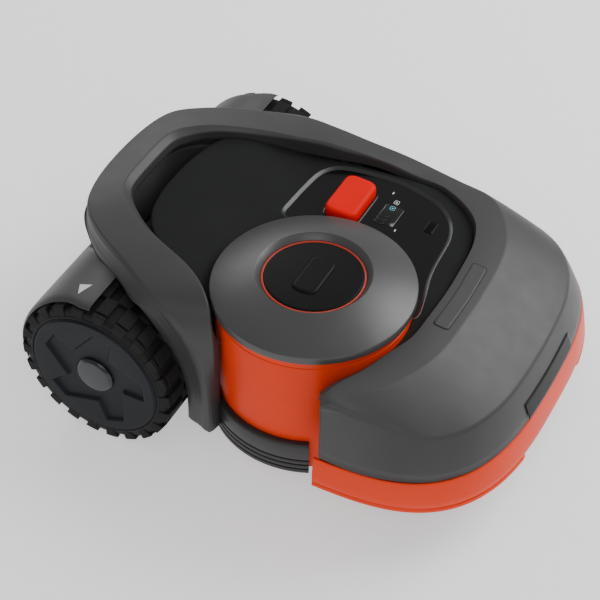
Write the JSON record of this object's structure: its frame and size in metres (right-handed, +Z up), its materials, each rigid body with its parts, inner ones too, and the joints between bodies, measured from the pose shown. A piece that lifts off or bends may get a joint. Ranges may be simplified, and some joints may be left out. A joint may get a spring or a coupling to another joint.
{
  "type": "robotic lawn mower",
  "caption": "Low robotic lawn mower: grey shell with rear carry loop, height knob over an offset cutter tower, ribbed guard, lugged drive wheels, sprung bumper and front casters.",
  "frame": {"origin": "on the ground, below the middle of the overall box", "axes": "+X forward to the bumper, +Y to the mower's left, +Z up"},
  "size_m": [0.6546, 0.512, 0.2683],
  "materials": {
    "shell_grey": "satin moulded plastic with a fine metallic paint",
    "cover_dark": "fine leather-grain texture",
    "chassis_black": "matte moulded",
    "console_gloss": "high gloss",
    "display_dark": "smoked window",
    "sensor_dark": "smoked window",
    "orange_paint": "satin moulded plastic with a fine metallic paint",
    "guard_grey": "satin moulded",
    "knob_grey": "satin metallic paint",
    "knob_black": "satin",
    "knob_ring_red": "satin",
    "stop_red": "satin",
    "tyre_rubber": "matte rubber",
    "rim_slate": "satin",
    "cap_slate": "satin",
    "steel": "brushed",
    "blade_steel": "ground",
    "brass": "bright",
    "rubber_soft": "matte",
    "motor_metal": "cast",
    "board_green": "solder resist",
    "battery_blue": "shrink sleeve",
    "nylon_white": "natural nylon"
  },
  "bodies": {
    "chassis": {"lower_chassis": "chassis_black", "front_tray": "chassis_black", "upper_shell": "shell_grey", "inner_cover": "cover_dark", "console_panel": "console_gloss", "display_window": "display_dark", "rain_sensor": "sensor_dark", "sensor_window": "sensor_dark", "accessory_cover": "shell_grey", "cutter_tower": "orange_paint", "ribbed_guard": "guard_grey", "left_fender": "shell_grey", "right_fender": "shell_grey", "battery_pack": "battery_blue", "battery_cover": "chassis_black", "cover_screws": "steel", "main_board": "board_green", "charging_contacts": "brass", "bumper_buffers": "rubber_soft", "antenna_module": "nylon_white", "speaker": "chassis_black", "guide_pins": "steel", "stop_switch": "nylon_white", "stop_spring": "steel", "left_drive_motor": "motor_metal", "right_drive_motor": "motor_metal", "left_caster_bush": "nylon_white", "right_caster_bush": "nylon_white"},
    "front_bumper": {"bumper_band": "orange_paint"},
    "stop_button": {"stop_cap": "stop_red"},
    "height_knob": {"knob_disc": "knob_grey", "knob_cap": "knob_black", "knob_ring": "knob_ring_red", "knob_badge": "knob_black", "lift_screw": "steel"},
    "cutter_carriage": {"carriage": "chassis_black", "blade_motor": "motor_metal"},
    "blade_disc": {"blade_plate": "chassis_black", "disc_hub": "steel", "blade_screws": "brass"},
    "skid": {"skid_plate": "guard_grey"},
    "blade_1_body": {"blade_1": "blade_steel"},
    "blade_2_body": {"blade_2": "blade_steel"},
    "blade_3_body": {"blade_3": "blade_steel"},
    "left_wheel": {"left_tyre": "tyre_rubber", "left_rim": "rim_slate", "left_hub_cap": "cap_slate", "left_axle": "steel"},
    "left_caster": {"left_caster_fork": "chassis_black", "left_caster_pin": "steel"},
    "left_caster_roll": {"left_caster_wheel": "rubber_soft"},
    "right_wheel": {"right_tyre": "tyre_rubber", "right_rim": "rim_slate", "right_hub_cap": "cap_slate", "right_axle": "steel"},
    "right_caster": {"right_caster_fork": "chassis_black", "right_caster_pin": "steel"},
    "right_caster_roll": {"right_caster_wheel": "rubber_soft"}
  },
  "joints": [
    {"name": "bumper_press", "type": "slide", "parent": "chassis", "child": "front_bumper", "axis": [-1, 0, 0], "range_m": [0, 0.004], "stiffness_N_per_m": 900},
    {"name": "stop_press", "type": "slide", "parent": "chassis", "child": "stop_button", "axis": [-0.0698, 0, -0.9976], "range_m": [0, 0.0035], "stiffness_N_per_m": 800, "springref_m": -0.002, "deforming": ["stop_spring"]},
    {"name": "height_turn", "type": "hinge", "parent": "chassis", "child": "height_knob", "pos_m": [0.0214, -0.0871, 0.23], "axis": [0, 0, 1], "range_deg": [0, 270]},
    {"name": "deck_lift", "type": "slide", "parent": "chassis", "child": "cutter_carriage", "axis": [0, 0, 1], "range_m": [0, 0.025]},
    {"name": "disc_spin", "type": "hinge", "parent": "cutter_carriage", "child": "blade_disc", "pos_m": [0.0214, -0.0871, 0.04], "axis": [0, 0, 1], "continuous": true},
    {"name": "skid_spin", "type": "hinge", "parent": "blade_disc", "child": "skid", "pos_m": [0.0214, -0.0871, 0.03], "axis": [0, 0, 1], "continuous": true},
    {"name": "blade_1_swing", "type": "hinge", "parent": "blade_disc", "child": "blade_1_body", "pos_m": [0.0214, -0.0051, 0.0369], "axis": [0, 0, 1], "continuous": true},
    {"name": "blade_2_swing", "type": "hinge", "parent": "blade_disc", "child": "blade_2_body", "pos_m": [-0.04961, -0.1281, 0.0369], "axis": [0, 0, 1], "continuous": true},
    {"name": "blade_3_swing", "type": "hinge", "parent": "blade_disc", "child": "blade_3_body", "pos_m": [0.09241, -0.1281, 0.0369], "axis": [0, 0, 1], "continuous": true},
    {"name": "left_drive", "type": "hinge", "parent": "chassis", "child": "left_wheel", "pos_m": [-0.2095, 0.2145, 0.1117], "axis": [0, 1, 0], "continuous": true},
    {"name": "left_swivel", "type": "hinge", "parent": "chassis", "child": "left_caster", "pos_m": [0.215, 0.15, 0.1], "axis": [0, 0, 1], "continuous": true},
    {"name": "left_caster_spin", "type": "hinge", "parent": "left_caster", "child": "left_caster_roll", "pos_m": [0.193, 0.15, 0.038], "axis": [0, 1, 0], "continuous": true},
    {"name": "right_drive", "type": "hinge", "parent": "chassis", "child": "right_wheel", "pos_m": [-0.2095, -0.2145, 0.1117], "axis": [0, 1, 0], "continuous": true},
    {"name": "right_swivel", "type": "hinge", "parent": "chassis", "child": "right_caster", "pos_m": [0.215, -0.15, 0.1], "axis": [0, 0, 1], "continuous": true},
    {"name": "right_caster_spin", "type": "hinge", "parent": "right_caster", "child": "right_caster_roll", "pos_m": [0.193, -0.15, 0.038], "axis": [0, 1, 0], "continuous": true}
  ],
  "couplings": [
    {"joint": "deck_lift", "follows": "height_turn", "m_per_rad": 0.0053}
  ]
}
